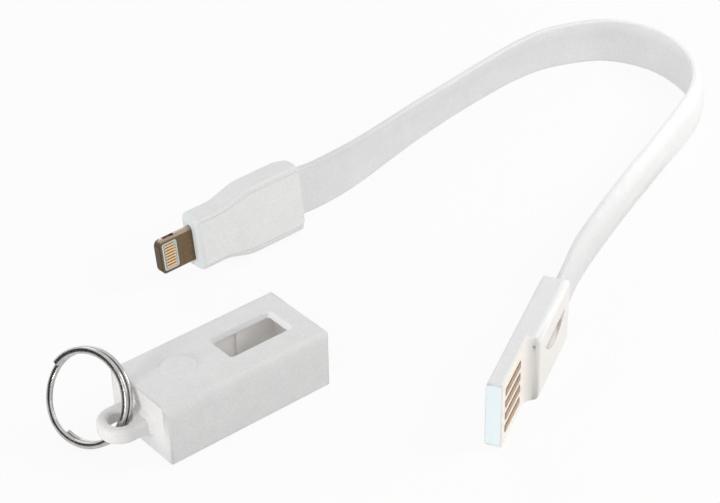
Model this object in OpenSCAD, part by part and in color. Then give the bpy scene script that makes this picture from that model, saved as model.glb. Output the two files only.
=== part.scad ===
// Short flat charging cable for a key ring: an 8-contact reversible phone plug
// and a slim 4-contact computer plug on one flat ribbon, with the holder block
// that both plugs push into and the split ring that carries it.
// Millimetres, +Z up. The origin is the centre of the holder's underside, the
// holder lies along X with its socket end towards +X, and everything stands on Z = 0.

/* [Holder] */
// Length of the holder block
holder_l = 31.4; // [29:0.2:38]
// Radius along the holder's two long top edges
top_round = 2.6; // [0.6:0.1:2.8]
// Radius along the holder's two long bottom edges
foot_round = 0.9; // [0.3:0.1:1.2]
// Top edge radius at the lug end
lug_end_top = 0.5; // [0.3:0.1:1]
// Bottom edge radius at the lug end
lug_end_foot = 1.4; // [0.3:0.1:1.8]
// Top edge radius at the socket end
mouth_top = 1.8; // [0.3:0.1:2]
// Bottom edge radius at the socket end
mouth_foot = 0.5; // [0.3:0.1:1.2]
// Radius of the holder's upright corners
corner_round = 1.2; // [0.6:0.1:2]
// Side wall of the hollow holder
side_wall = 1; // [0.8:0.05:1.6]
// Floor and lid thickness of the hollow holder
lid_wall = 1.3; // [1:0.05:1.8]
// Length of the window in the lid
window_l = 11.7; // [8:0.1:12.5]
// Width of the window in the lid
window_w = 5.9; // [4.6:0.1:8]
// Rounding of the window's rim
window_round = 0.35; // [0.2:0.05:0.9]
// Wider rounding of the window's rim at the socket end
ramp_round = 1.2; // [0.4:0.1:1.25]
// How far the window lies to the near side of the lid's middle
window_off = 0.45; // [0:0.05:0.6]
// Distance from the socket end to the window
window_setback = 4.4; // [3:0.1:5.5]
// Radius of the raised thumb bump
bump_r = 2.9; // [1.5:0.1:4]
// Height of the thumb bump
bump_h = 0.5; // [0.2:0.05:0.8]

/* [Socket guide] */
// Length of the guide block inside the socket end
guide_l = 16.2; // [15:0.1:16.3]
// Thickness of the guide's end wall, which both tongues pass
guide_plate = 2.8; // [2.4:0.1:3.4]
// Width of the channel between the guide's side blocks
channel_w = 7.1; // [7.1:0.05:7.6]
// Distance of the two upright ribs in the channel from the socket end
rib_set = 10.3; // [6:0.1:12]
// Thickness of the guide's legs beside the lower socket
rail_t = 0.5; // [0.4:0.05:0.8]
// Clearance round a tongue in its socket
socket_gap = 0.15; // [0.1:0.05:0.3]

/* [Key lug and split ring] */
// Radius of the lug's round end
lug_r = 3.6; // [3.2:0.1:4.2]
// Thickness of the lug
lug_t = 2.6; // [2:0.1:3]
// Rounding of the lug's edges
lug_edge = 0.7; // [0.4:0.05:0.7]
// Height of the lug's underside
lug_z = 4.3; // [3.8:0.1:4.8]
// Distance from the end face to the centre of the lug's eye
lug_reach = 3.4; // [3:0.1:5]
// Radius of the lug's eye
eye_r = 1.8; // [1.7:0.05:2.2]
// Radius of the split ring at the middle of its wire
ring_r = 7.4; // [7:0.1:9]
// Width of the ring's wire across the ring
wire_w = 1.1; // [0.8:0.05:1.2]
// Thickness of the ring's wire along its axis
wire_t = 0.7; // [0.5:0.05:0.75]
// Gap between the ring's two turns
turn_gap = 0.45; // [0.42:0.01:0.6]

/* [Phone plug] */
// Width of the steel tongue
steel_w = 6.7; // [6.4:0.05:7]
// Thickness of the steel tongue
steel_t = 1.5; // [1.4:0.05:1.6]
// Length of the steel tongue outside the housing
steel_l = 6.9; // [6:0.05:7.4]
// Length of the phone plug's housing
phone_l = 22.3; // [19:0.1:26]
// Width of the housing at its narrow nose
phone_nose_w = 10.1; // [9:0.1:10.8]
// Width of the housing behind its waist
phone_w = 13.1; // [12:0.1:13.6]
// Thickness of the housing
phone_t = 4.7; // [4.5:0.1:5.6]
// Inset of the cover's seam along the nose
seam_inset = 0.9; // [0.6:0.05:1]
// Inset of the cover's seam along the wide rear
seam_rear_inset = 1.3; // [0.9:0.05:1.5]
// Width of the seam gap
seam_gap = 0.04; // [0.03:0.01:0.12]

/* [Computer plug] */
// Width of the plug's tongue and grip
comp_w = 12.1; // [11.9:0.05:12.6]
// Thickness of the tongue
comp_tongue_t = 2.7; // [2.5:0.05:2.9]
// Length of the flat tongue before its cove
comp_tongue_l = 11.4; // [10.8:0.1:12.5]
// Thickness of the grip
comp_t = 4.7; // [4.5:0.1:5.6]
// Length of the grip, with its cove
comp_grip_l = 18.8; // [17:0.1:24]
// Length of a contact strip
strip_l = 7.4; // [6.5:0.1:8]
// Width of a contact strip
strip_w = 1.1; // [0.8:0.05:1.3]
// Length of the fingernail notch
nail_l = 11; // [8:0.2:12]
// Width of the fingernail notch
nail_w = 2.8; // [1.6:0.1:3]
// Depth of the fingernail notch along its straight edge
nail_depth = 1.35; // [0.5:0.05:1.4]

/* [Ribbon] */
// Width of the flat ribbon
ribbon_w = 9.2; // [8.6:0.1:9.4]
// Thickness of the flat ribbon
ribbon_t = 1.1; // [0.9:0.05:1.3]
// Distance from the phone plug's rear to the far side of the ribbon's loop
loop_reach = 87.9; // [75:0.1:140]
// Radius of an insulated conductor
core_r = 0.32; // [0.25:0.01:0.36]

/* [Hidden] */
$fn = 48;

eps = 0.01;
fit_gap = 0.05;            // side clearance of pieces pressed or laid into a seat

// Where the two plugs lie: rear centre of each plug, its heading, its lean sideways
// and how far the phone plug nods down onto the shoulders behind its waist
phone_at = [39.49, 31.89];
phone_yaw = 0.5;
phone_lean = 6;
phone_nod = 1.1;
comp_at = [51.1, -21.5];
comp_yaw = 29.7;
plug_round = 1;            // edge radius of both plug housings

// Where the housing's S-shaped waist starts and ends, from its nose
waist_u0 = 0.22 * phone_l;
waist_u1 = 0.54 * phone_l;

// Both plugs stand on a narrow edge, so their middles are half a width up
function stand_z(w, t, lean) =
    (w / 2 - plug_round) * cos(lean) + (t / 2 - plug_round) * sin(abs(lean)) + plug_round;
phone_z = stand_z(phone_w, phone_t, phone_lean) + (phone_l - waist_u1) * sin(phone_nod);
comp_z = stand_z(comp_w, comp_t, 0);

// Stack of the two plugs in the holder sets its height and width
stack_gap = 0.2;
low_socket_z = lid_wall + comp_tongue_t / 2 + socket_gap;
high_socket_z = low_socket_z - comp_tongue_t / 2 + comp_t + stack_gap + phone_t / 2;
holder_h = high_socket_z + phone_t / 2;
guide_in = comp_w / 2 + socket_gap;      // half gap between the guide's legs
cavity_hw = guide_in + rail_t + fit_gap;
holder_w = 2 * (cavity_hw + side_wall);
mouth_x = holder_l / 2;
lug_x = -holder_l / 2 - lug_reach;
window_x = mouth_x - window_setback - window_l / 2;
cavity_x = window_x - window_l / 2 - 0.3;
cavity_z0 = lid_wall;
cavity_z1 = holder_h - lid_wall;
bump_power = 6;                           // how late the bump falls away to its rim
bump_gap = 7.4;                           // from the socket well to the middle of the thumb bump
bump_x = cavity_x - bump_gap;

module phone_place() {
    translate([phone_at[0], phone_at[1], phone_z])
        rotate([0, 0, phone_yaw]) rotate([-phone_lean, 0, 0]) rotate([0, -phone_nod, 0])
            children();
}

module comp_place() {
    translate([comp_at[0], comp_at[1], comp_z]) rotate([0, 0, comp_yaw]) children();
}

// ---------- shared flat shapes ----------

// Rectangle from a to b with its own radius at the lower and at the upper corners
module round_rect(a, b, r_low, r_high) {
    difference() {
        translate(a) square(b - a);
        for (c = [[a[0], a[1], r_low, 1, 1], [b[0], a[1], r_low, -1, 1],
                  [a[0], b[1], r_high, 1, -1], [b[0], b[1], r_high, -1, -1]])
            translate([c[0], c[1]]) scale_sign(c[3], c[4]) corner_nick(c[2]);
    }
}

// What a round corner of radius r leaves of its square
module corner_nick(r) {
    difference() {
        translate([-eps, -eps]) square(r + eps);
        translate([r, r]) circle(r);
    }
}

module scale_sign(sx, sy) {
    mirror([sx < 0 ? 1 : 0, 0]) mirror([0, sy < 0 ? 1 : 0]) children();
}

// Stadium of length l along X and width w, centred
module stadium(l, w) {
    square([l - w, w], center = true);
    for (s = [-1, 1]) translate([s * (l - w) / 2, 0]) circle(w / 2);
}

// ---------- holder ----------

// Block with its sets of edge radii, as crossed outlines
module holder_block() {
    spare = 5;
    intersection() {
        linear_extrude(holder_h)
            round_rect([-holder_l / 2, -holder_w / 2], [holder_l / 2, holder_w / 2],
                corner_round, corner_round);
        translate([0, holder_w / 2, 0]) rotate([90, 0, 0]) linear_extrude(holder_w)
            intersection() {
                round_rect([-holder_l / 2, 0], [holder_l / 2 + spare, holder_h],
                    lug_end_foot, lug_end_top);
                round_rect([-holder_l / 2 - spare, 0], [holder_l / 2, holder_h],
                    mouth_foot, mouth_top);
            }
        translate([-holder_l / 2, 0, 0]) rotate([90, 0, 90]) linear_extrude(holder_l)
            round_rect([-holder_w / 2, 0], [holder_w / 2, holder_h], foot_round, top_round);
    }
}

// Profile that rounds a rim over: outside the arc, on the edge's own corner
module rim_profile(r) {
    difference() {
        translate([-eps, -r]) square([r + eps, r + 1]);
        translate([r, -r]) circle(r);
    }
}

window_corner = 0.6;
rim_depths = [0, 0.05, 0.15, 0.3, 0.6, 1.2];
rim_slice = 0.02;

// The window's outline at depth d below the top, flared out towards the top
module window_level(d) {
    flare = end_inset(d, window_round);
    ramp = end_inset(d, ramp_round);
    translate([window_x, -window_off, holder_h - d]) linear_extrude(rim_slice)
        round_rect([-window_l / 2 - flare, -window_w / 2 - flare],
            [window_l / 2 + ramp, window_w / 2 + flare],
            window_corner + flare, window_corner + flare, $fn = 32);
}

module window_cut() {
    for (k = [0:len(rim_depths) - 2]) hull() {
        window_level(rim_depths[k]);
        window_level(rim_depths[k + 1]);
    }
    translate([window_x, -window_off, cavity_z1 - 1]) linear_extrude(lid_wall + 0.5)
        round_rect([-window_l / 2, -window_w / 2], [window_l / 2, window_w / 2],
            window_corner, window_corner);
    // clears the top of the lid itself
    translate([0, 0, eps]) window_level(0);
}

// Low bump with a nearly flat middle and a steeper rim
module thumb_bump() {
    steps = 20;
    sink = 0.5;
    translate([bump_x, 0, holder_h]) rotate_extrude($fn = 72) polygon(concat(
        [[0, -sink], [bump_r, -sink]],
        [for (k = [steps:-1:0]) let (t = k / steps)
            [bump_r * t, bump_h * (1 - pow(t, bump_power))]]));
}

// Upright section through the lug, rounded along both sides
module lug_section(grow) {
    round_rect([-lug_r - grow, -grow], [lug_r + grow, lug_t + grow],
        lug_edge + grow, lug_edge + grow);
}

module lug_plate() {
    root_x = -holder_l / 2;
    flare = 0.7;
    translate([0, 0, lug_z]) {
        translate([lug_x, 0, 0]) rotate_extrude() intersection() {
            lug_section(0);
            square([lug_r, lug_t]);
        }
        translate([lug_x, 0, 0]) rotate([90, 0, 90])
            linear_extrude(root_x + corner_round - lug_x) lug_section(0);
        // flare where the lug leaves the end face
        hull() {
            translate([root_x - flare, 0, 0]) rotate([90, 0, 90])
                linear_extrude(eps) lug_section(0, $fn = 32);
            translate([root_x, 0, 0]) rotate([90, 0, 90])
                linear_extrude(eps) lug_section(flare, $fn = 32);
        }
    }
}

// The lug's eye, with both rims rounded over
module lug_eye() {
    translate([lug_x, 0, lug_z]) {
        translate([0, 0, -1]) cylinder(r = eye_r, h = lug_t + 2);
        for (s = [0, 1]) translate([0, 0, s * lug_t]) mirror([0, 0, 1 - s])
            rotate_extrude() translate([eye_r, 0]) rim_profile(lug_edge);
    }
}

module holder_body() {
    color("white") difference() {
        union() {
            holder_block();
            thumb_bump();
            lug_plate();
        }
        translate([cavity_x, -cavity_hw, cavity_z0])
            cube([mouth_x - cavity_x + 1, 2 * cavity_hw, cavity_z1 - cavity_z0]);
        window_cut();
        lug_eye();
    }
}

// Guide block: an open channel under the window between two side blocks, an end wall
// with the phone plug's socket, and the computer plug's socket along its underside
module socket_guide() {
    x0 = mouth_x - guide_l;
    z0 = cavity_z0 + fit_gap;
    hw = cavity_hw - fit_gap;
    low_w = comp_w + 2 * socket_gap;
    low_t = comp_tongue_t + 2 * socket_gap;
    rib = [0.35, 0.3];
    color("gainsboro") difference() {
        translate([x0, -hw, z0]) cube([guide_l, 2 * hw, cavity_z1 - fit_gap - z0]);
        difference() {
            translate([x0 - 1, -channel_w / 2, z0])
                cube([guide_l - guide_plate + 1, channel_w, holder_h]);
            for (s = [0, 1]) mirror([0, s, 0])
                translate([mouth_x - rib_set, channel_w / 2 - rib[1], z0 - 1])
                    cube([rib[0], 1, holder_h + 2]);
        }
        translate([x0 - 1, -low_w / 2, low_socket_z - low_t / 2])
            cube([guide_l + 2, low_w, low_t]);
        translate([mouth_x - steel_l - 0.3, 0, high_socket_z]) rotate([90, 0, 90])
            linear_extrude(steel_l + 1)
                stadium(steel_w + 2 * socket_gap, steel_t + 2 * socket_gap);
    }
}

// ---------- split ring ----------

// The ring stands in the lug's eye and leans back towards the holder
ring_az = 18;
ring_el = -24.6;
ring_mid = [lug_x - 1.3, ring_r - 0.75, ring_r + 0.1];
ring_n = [cos(ring_el) * cos(ring_az), cos(ring_el) * sin(ring_az), sin(ring_el)];
ring_u = [-sin(ring_az), cos(ring_az), 0];
ring_v = cross(ring_n, ring_u);
turn_pitch = wire_t + turn_gap;
full_turn = 360;
jog_span = 96;                            // angle over which the wire changes turn
jog_mid = -20;                            // where that is, from the ring's left side
ring_steps = 32;                          // sections in a full turn

// Smooth step from 0 to 1
function ease(t) = let (c = min(1, max(0, t))) c * c * (3 - 2 * c);

// Wire angle runs nearly two turns, from one cut end to the other
ring_a0 = jog_mid + jog_span / 2 - full_turn;
ring_a1 = jog_mid - jog_span / 2 + full_turn;
ring_count = ceil((ring_a1 - ring_a0) / full_turn * ring_steps);
function ring_angle(i) = ring_a0 + (ring_a1 - ring_a0) * i / ring_count;
function ring_shift(a) =
    turn_pitch * (ease((a - jog_mid + jog_span / 2) / jog_span) - 0.5);

// Six-sided flat wire section: [across the ring, along its axis]
wire_section = [
    for (p = [[1, 0], [0.6, -1], [-0.6, -1], [-1, 0], [-0.6, 1], [0.6, 1]])
        [p[0] * wire_w / 2, p[1] * wire_t / 2]
];

function ring_points(i) =
    let (a = ring_angle(i), radial = cos(a) * ring_u + sin(a) * ring_v,
         mid = ring_mid + ring_r * radial + ring_shift(a) * ring_n)
    [for (p = wire_section) mid + p[0] * radial + p[1] * ring_n];

// Triangles of a closed tube with the given rings of k points each
function tube_faces(rings, k) = concat(
    [for (i = [1:k - 2]) [0, i, i + 1]],
    [for (i = [1:k - 2]) let (b = (rings - 1) * k) [b, b + i + 1, b + i]],
    [for (r = [0:rings - 2], j = [0:k - 1], half = [0, 1])
        let (a = r * k + j, b = r * k + (j + 1) % k, c = a + k, d = b + k)
        half == 0 ? [a, c, b] : [b, c, d]]
);

// Least distance between wire points that lie more than half a turn apart
ring_rows = [for (i = [0:ring_count]) ring_points(i)];
ring_gap = min([
    for (i = [0:ring_count], j = [i + ring_steps / 2:ring_count])
        if (j <= ring_count) min([for (p = ring_rows[i], q = ring_rows[j]) norm(p - q)])
]);
echo(split_ring_least_gap = ring_gap);  // split_ring

module split_ring() {
    color("silver") polyhedron(
        [for (row = ring_rows) each row],
        tube_faces(ring_count + 1, len(wire_section)));
}

// ---------- phone plug ----------
// Own frame: origin at the middle of the rear face, +X to the rear, front face -Y

phone_front_x = -phone_l;
tip_x = phone_front_x - steel_l;
steel_seat = 3.4;                         // length of the tongue held in the housing
steel_wall = 0.35;
tip_round = 1.5;
pad_l = 3;
pad_w = 5.1;
pad_x = tip_x + 0.6 + pad_l / 2;
pad_depth = 0.4;
pin_count = 8;
pin_pitch = 0.55;
pin_w = 0.36;
pin_l = 2.1;
pin_proud = 0.04;
board_t = steel_t - 2 * pad_depth;
cover_ledge = 0.3;                        // width of the ledge that the cover rests on
cover_t = 0.85;
end_wall = 0.9;
notch_l = 2.2;
notch_depth = 0.4;
notch_t = 0.8;

// Plan outline of the steel tongue from its tip to its seated end
module steel_outline(grow) {
    x0 = tip_x - grow;
    x1 = phone_front_x + steel_seat;
    rotate([0, 0, -90]) round_rect([-steel_w / 2 - grow, x0], [steel_w / 2 + grow, x1],
        tip_round + grow, eps);
}

// Bar along X with a stadium section, w wide in Z and t thick in Y
module stadium_bar(x0, x1, w, t) {
    translate([x0, 0, 0]) rotate([90, 0, 90]) linear_extrude(x1 - x0)
        rotate([0, 0, 90]) stadium(w, t);
}

module pad_outline(grow) {
    round_rect([-pad_l / 2 - grow, -pad_w / 2 - grow], [pad_l / 2 + grow, pad_w / 2 + grow],
        0.4 + grow, 0.4 + grow);
}

module phone_tongue() {
    seat_x = phone_front_x + steel_seat;
    color("dimgray") phone_place() difference() {
        intersection() {
            stadium_bar(tip_x - 1, seat_x, steel_w, steel_t);
            translate([0, steel_t, 0]) rotate([90, 0, 0]) linear_extrude(2 * steel_t)
                mirror([0, 1]) translate([0, 0]) steel_plan();
        }
        // room for the board, open at the rear
        translate([tip_x + 1, -board_t / 2 - fit_gap, -pad_w / 2 - fit_gap])
            cube([seat_x - tip_x, board_t + 2 * fit_gap, pad_w + 2 * fit_gap]);
        // contact windows on both faces
        for (s = [0, 1]) mirror([0, s, 0])
            translate([pad_x, -board_t / 2, 0]) rotate([90, 0, 0])
                linear_extrude(pad_depth + 1) pad_outline(fit_gap);
        // latch notches in both narrow sides
        for (s = [-1, 1])
            translate([pad_x - notch_l / 2 + 0.3, -notch_t / 2, s * (steel_w / 2) - notch_depth])
                cube([notch_l, notch_t, 2 * notch_depth]);
    }
}

// The tongue's plan in the XZ plane, round at the tip's two corners
module steel_plan() {
    x1 = phone_front_x + steel_seat;
    difference() {
        translate([tip_x, -steel_w / 2]) square([x1 - tip_x, steel_w]);
        for (s = [0, 1]) mirror([0, s]) translate([tip_x, -steel_w / 2]) corner_nick(tip_round);
    }
}

field_l = pin_l + 0.3;
field_w = (pin_count - 1) * pin_pitch + pin_w + 0.3;
field_depth = 0.1;

function pin_z(i) = (i - (pin_count - 1) / 2) * pin_pitch;

module pin_block(l, w, t) {
    for (i = [0:pin_count - 1])
        translate([pad_x - l / 2, -board_t / 2 - t, pin_z(i) - w / 2]) cube([l, t, w]);
}

// Moulded frame that fills one contact window, side 0 is the front
module contact_frame(side) {
    color("lightgray") phone_place() mirror([0, side, 0]) difference() {
        translate([pad_x, -board_t / 2, 0]) rotate([90, 0, 0])
            linear_extrude(pad_depth) pad_outline(0);
        translate([0, eps, 0]) pin_block(pin_l + 2 * 0.02, pin_w + 2 * 0.02, pad_depth + 1);
        // shallow field that the contacts stand in
        translate([pad_x - field_l / 2, -board_t / 2 - pad_depth - 1, -field_w / 2])
            cube([field_l, 1 + field_depth, field_w]);
    }
}

module phone_contact_frame_front() { contact_frame(0); }
module phone_contact_frame_back() { contact_frame(1); }

module pin_row(side) {
    color("gold") phone_place() mirror([0, side, 0]) pin_block(pin_l, pin_w, pad_depth + pin_proud);
}

module phone_contacts_front() { pin_row(0); }
module phone_contacts_back() { pin_row(1); }

board_x0 = tip_x + 1 + fit_gap;
board_x1 = -7.4;

module phone_board() {
    color("seagreen") phone_place()
        translate([board_x0, -board_t / 2, -pad_w / 2])
            cube([board_x1 - board_x0, board_t, pad_w]);
}

shield_l = 6;
shield_w = 4.6;
shield_h = 0.95;
shield_wall = 0.15;
shield_x = phone_front_x + steel_seat + 1;

module phone_shield() {
    color("silver") phone_place() translate([shield_x, -board_t / 2 - shield_h, -shield_w / 2])
        difference() {
            cube([shield_l, shield_h, shield_w]);
            translate([shield_wall, shield_wall, shield_wall])
                cube([shield_l - 2 * shield_wall, shield_h, shield_w - 2 * shield_wall]);
        }
}

module phone_chip() {
    chip = [3.2, 0.6, 2.8];
    color("black") phone_place()
        translate([shield_x + shield_l / 2 - chip[0] / 2, -board_t / 2 - chip[1], -chip[2] / 2])
            cube(chip);
}

cap_size = [1, 0.5, 0.5];

module phone_capacitors() {
    color("tan") phone_place()
        for (i = [0:2])
            translate([shield_x + 0.4 + 2 * i, board_t / 2, -1.4 + 0.9 * i]) cube(cap_size);
}

core_pitch = 1.2;
clamp_l = 2.4;
function core_z(i) = (i - 1.5) * core_pitch;

// Four insulated cores between the ribbon's end and x0, at depth y
module cores(x0, y, r) {
    for (i = [0:3]) translate([x0, y, core_z(i)]) rotate([0, 90, 0])
        cylinder(r = r, h = -end_wall - x0, $fn = 24);
}

module phone_wires() {
    color("firebrick") phone_place() cores(board_x1, 0, core_r);
}

// Block w wide that holds the cores at depth y, from depth y0 to y1
module wire_clamp(y, w, y0, y1) {
    difference() {
        translate([-end_wall - clamp_l, y0, -w / 2]) cube([clamp_l, y1 - y0, w]);
        translate([-1, 0, 0]) cores(-clamp_l - 2, y, core_r + 0.02);
        translate([1, 0, 0]) cores(-end_wall - clamp_l - 2, y, core_r + 0.02);
    }
}

module phone_wire_clamp() {
    color("ivory") phone_place()
        wire_clamp(0, phone_clamp_w, cover_t - phone_t / 2, phone_t / 2 - end_wall);
}

// How far the waist has widened at distance u from the nose, 0 to 1
function widening(u) = ease((u - waist_u0) / (waist_u1 - waist_u0));
// Half width of the housing there
function phone_hw(u) =
    (phone_nose_w + (phone_w - phone_nose_w) * widening(u)) / 2;

nose_round = 0.9;
nose_gap = 0.02;                          // the cover meets its seat closely at the nose
rear_round = 0.5;
rear_side = 0.6;                          // rounding of the rear corners, seen on the cover
back_round = 2.3;                         // edge radius that the back grows to at the rear
back_run = 2.8;                           // length over which it grows

// How far the section draws in where the two ends are rounded over
function end_inset(u, r) =
    let (v = max(0, u)) v >= r ? 0 : r - sqrt(r * r - (r - v) * (r - v));
function plan_hw(u) = phone_hw(u) - end_inset(phone_l - u, rear_side);
function back_r(u) =
    plug_round + (back_round - plug_round) * ease((u - phone_l + back_run) / back_run);
function shell_inset(u) =
    end_inset(u, nose_round) + end_inset(phone_l - u, rear_round);

shell_stations = concat(
    [for (k = [0:4]) nose_round * (1 - cos(k * 22.5))],
    [waist_u0 * 0.65],
    [for (k = [0:10]) waist_u0 + (waist_u1 - waist_u0) * k / 10],
    [phone_l * 0.75],
    [for (k = [0:4]) phone_l - back_run + (back_run - 0.8) * k / 4],
    [for (k = [4:-1:0]) phone_l - rear_side * (1 - cos(k * 22.5))]
);

corner_steps = 4;
// Rounded rectangle section as [y, z] points, radius rb on its back side
function section_points(hy, hz, rf, rb) = [
    for (q = [[1, 1, 0], [-1, 1, 90], [-1, -1, 180], [1, -1, 270]], k = [0:corner_steps])
        let (a = q[2] + 90 * k / corner_steps, r = q[0] > 0 ? rb : rf)
        [q[0] * (hy - r) + r * cos(a), q[1] * (hz - r) + r * sin(a)]
];

function shell_row(u) =
    let (g = shell_inset(u), r = max(0.3, plug_round - g * 0.6),
         rb = max(0.3, back_r(u) - g * 0.6))
    [for (p = section_points(phone_t / 2 - g, plan_hw(u) - g, r, rb))
        [phone_front_x + u, p[0], p[1]]];

module phone_shell() {
    rows = [for (u = shell_stations) shell_row(u)];
    polyhedron([for (row = rows) each row],
        tube_faces(len(rows), 4 * (corner_steps + 1)));
}

// Plan outline of the cover or of the hollow, inset from the housing's side
module waist_plan(u0, u1, inset, grow = 0) {
    steps = 16;
    stop = min(u1, phone_l - rear_side);
    us = concat(
        [for (k = [0:steps]) u0 + (stop - u0) * k / steps],
        [for (k = [3:-1:0]) let (u = phone_l - rear_side * (1 - cos(k * 22.5)))
            if (u < u1 - eps) u],
        u1 > stop ? [u1] : []);
    polygon(concat(
        [for (u = us) [phone_front_x + u, plan_hw(u) - inset - grow * widening(u)]],
        [for (k = [len(us) - 1:-1:0]) let (u = us[k])
            [phone_front_x + u, inset + grow * widening(u) - plan_hw(u)]]));
}

// Slab between two depths, y0 towards the front face and y1 towards the back
module waist_slab(y0, y1, u0, u1, inset, grow = 0) {
    translate([0, y1, 0]) rotate([90, 0, 0]) linear_extrude(y1 - y0)
        waist_plan(u0, u1, inset, grow);
}

module ribbon_slot() {
    g = 2 * fit_gap;
    translate([-end_wall - 1, -ribbon_t / 2 - g, -ribbon_w / 2 - g])
        cube([end_wall + 2, ribbon_t + 2 * g, ribbon_w + 2 * g]);
}

module phone_housing() {
    front_y = -phone_t / 2;
    color("white") phone_place() difference() {
        phone_shell();
        // seat of the cover, open at the front face and the rear
        waist_slab(front_y - 1, front_y + cover_t, seam_inset, phone_l + 1, seam_inset,
            seam_rear_inset - seam_inset);
        // hollow behind the cover
        waist_slab(front_y, phone_t / 2 - end_wall, end_wall + 0.2, phone_l - end_wall,
            seam_inset + cover_ledge, seam_rear_inset - seam_inset);
        stadium_bar(phone_front_x - 1, phone_front_x + 2, steel_w + 2 * fit_gap,
            steel_t + 2 * fit_gap);
        ribbon_slot();
    }
}

module phone_cover() {
    front_y = -phone_t / 2;
    color("white") phone_place()
        waist_slab(front_y, front_y + cover_t, seam_inset + nose_gap, phone_l,
            seam_inset + seam_gap, seam_rear_inset - seam_inset);
}

// ---------- computer plug ----------
// Own frame: origin at the middle of the rear face, +X to the rear, front face -Y.
// The back is one flat face, so the thin tongue lies against it.

comp_front_x = -comp_grip_l - comp_tongue_l;
grip_y0 = -comp_t / 2;
back_y = comp_t / 2;
tongue_y0 = back_y - comp_tongue_t;
cove_r = comp_t - comp_tongue_t;
cove_x = -comp_grip_l;
tongue_skin = 0.75;
back_t = 0.8;
comp_board_t = 0.8;
comp_board_y = tongue_y0 + tongue_skin;
comp_wall = 0.9;
strip_x = comp_front_x + 1.9;
strip_rows = [3.5, 1.15, -1.15, -3.5];
strip_proud = 0.12;
channel_gap = 0.18;
channel_depth = 0.22;

// Side view with the cove between tongue and grip
module comp_profile() {
    difference() {
        union() {
            translate([comp_front_x, tongue_y0]) square([comp_tongue_l + cove_r, comp_tongue_t]);
            translate([cove_x, grip_y0]) square([comp_grip_l, comp_t]);
        }
        translate([cove_x, grip_y0]) circle(cove_r);
        translate([cove_x - 1, grip_y0 - 1]) square([1, cove_r + 1]);
        // rounded lip where the cove meets the grip
        translate([cove_x + sqrt(cove_r * cove_r - lip_round * lip_round), grip_y0])
            corner_nick(lip_round);
        translate([0, grip_y0]) mirror([1, 0]) corner_nick(0.5);
        translate([0, back_y]) mirror([1, 0]) mirror([0, 1]) corner_nick(0.5);
        translate([comp_front_x, back_y]) mirror([0, 1]) corner_nick(0.3);
        translate([comp_front_x, tongue_y0]) corner_nick(0.3);
    }
}

module comp_outer() {
    intersection() {
        translate([0, 0, -comp_w / 2]) linear_extrude(comp_w) comp_profile();
        translate([comp_front_x, 0, 0]) rotate([90, 0, 90])
            linear_extrude(comp_grip_l + comp_tongue_l)
                round_rect([grip_y0, -comp_w / 2], [back_y, comp_w / 2], plug_round, plug_round);
        translate([0, back_y + 1, 0]) rotate([90, 0, 0]) linear_extrude(comp_t + 2)
            round_rect([comp_front_x, -comp_w / 2], [0, comp_w / 2], 0.7, 0.7);
    }
}

// Fingernail notch: straight and deep along its top edge, rising to a curved lower edge
module nail_notch() {
    mid_x = -8.3;
    top_z = 2.2;
    arc_r = (nail_l * nail_l / 4 + nail_w * nail_w) / (2 * nail_w);
    translate([mid_x, grip_y0, top_z]) intersection() {
        translate([0, nail_depth, 0]) rotate([90, 0, 0]) linear_extrude(nail_depth + 1)
            intersection() {
                translate([0, arc_r - nail_w]) circle(arc_r, $fn = 96);
                translate([-nail_l, -2 * nail_w]) square([2 * nail_l, 2 * nail_w]);
            }
        rotate([-atan(nail_depth / nail_w), 0, 0]) translate([-nail_l, -2, -2 * nail_w])
            cube([2 * nail_l, 2 + nail_depth, 2 * nail_w]);
    }
}

// Box from the hollow's front side to back_y, inset from the plug's long sides
module comp_pocket(x0, x1, y0, inset) {
    translate([x0, y0, inset - comp_w / 2]) cube([x1 - x0, back_y + 1 - y0, comp_w - 2 * inset]);
}

module strip_slots() {
    for (z = strip_rows) {
        translate([strip_x - fit_gap, tongue_y0 - 1, z - strip_w / 2 - fit_gap])
            cube([strip_l + 2 * fit_gap, tongue_skin + 2, strip_w + 2 * fit_gap]);
        translate([strip_x - channel_gap, tongue_y0 - 1, z - strip_w / 2 - channel_gap])
            cube([strip_l + 2 * channel_gap, 1 + channel_depth, strip_w + 2 * channel_gap]);
    }
}

lip_round = 0.55;
light_angle = 28.8;
lid_inset = 0.7;
hollow_front_y = grip_y0 + 1.75;

module computer_plug_body() {
    color("white") comp_place() difference() {
        comp_outer();
        // seat of the back cover, then the hollow for the board and the cores
        comp_pocket(comp_front_x + lid_inset, -lid_inset, back_y - back_t, lid_inset);
        comp_pocket(comp_front_x + comp_wall, cove_x + 2, comp_board_y, comp_wall);
        comp_pocket(cove_x + 1, -end_wall, hollow_front_y, comp_wall);
        strip_slots();
        nail_notch();
        // pin-point light hole near the top of the cove, square to its curve
        translate([cove_x + cove_r * cos(light_angle), grip_y0 + cove_r * sin(light_angle),
                0.35 * comp_w])
            rotate([0, 0, light_angle]) rotate([0, 90, 0])
                cylinder(r = 0.28, h = 1.2, center = true, $fn = 16);
        ribbon_slot();
    }
}

module computer_plug_back() {
    g = fit_gap;
    color("whitesmoke") comp_place()
        translate([comp_front_x + lid_inset + g, back_y - back_t, lid_inset + g - comp_w / 2])
            cube([comp_grip_l + comp_tongue_l - 2 * (lid_inset + g), back_t,
                comp_w - 2 * (lid_inset + g)]);
}

module strip(i) {
    color("gold") comp_place()
        translate([strip_x, tongue_y0 - strip_proud, strip_rows[i] - strip_w / 2])
            cube([strip_l, strip_proud + tongue_skin, strip_w]);
}

module contact_power() { strip(0); }
module contact_data_minus() { strip(1); }
module contact_data_plus() { strip(2); }
module contact_ground() { strip(3); }

comp_board_x1 = -7;

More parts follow.
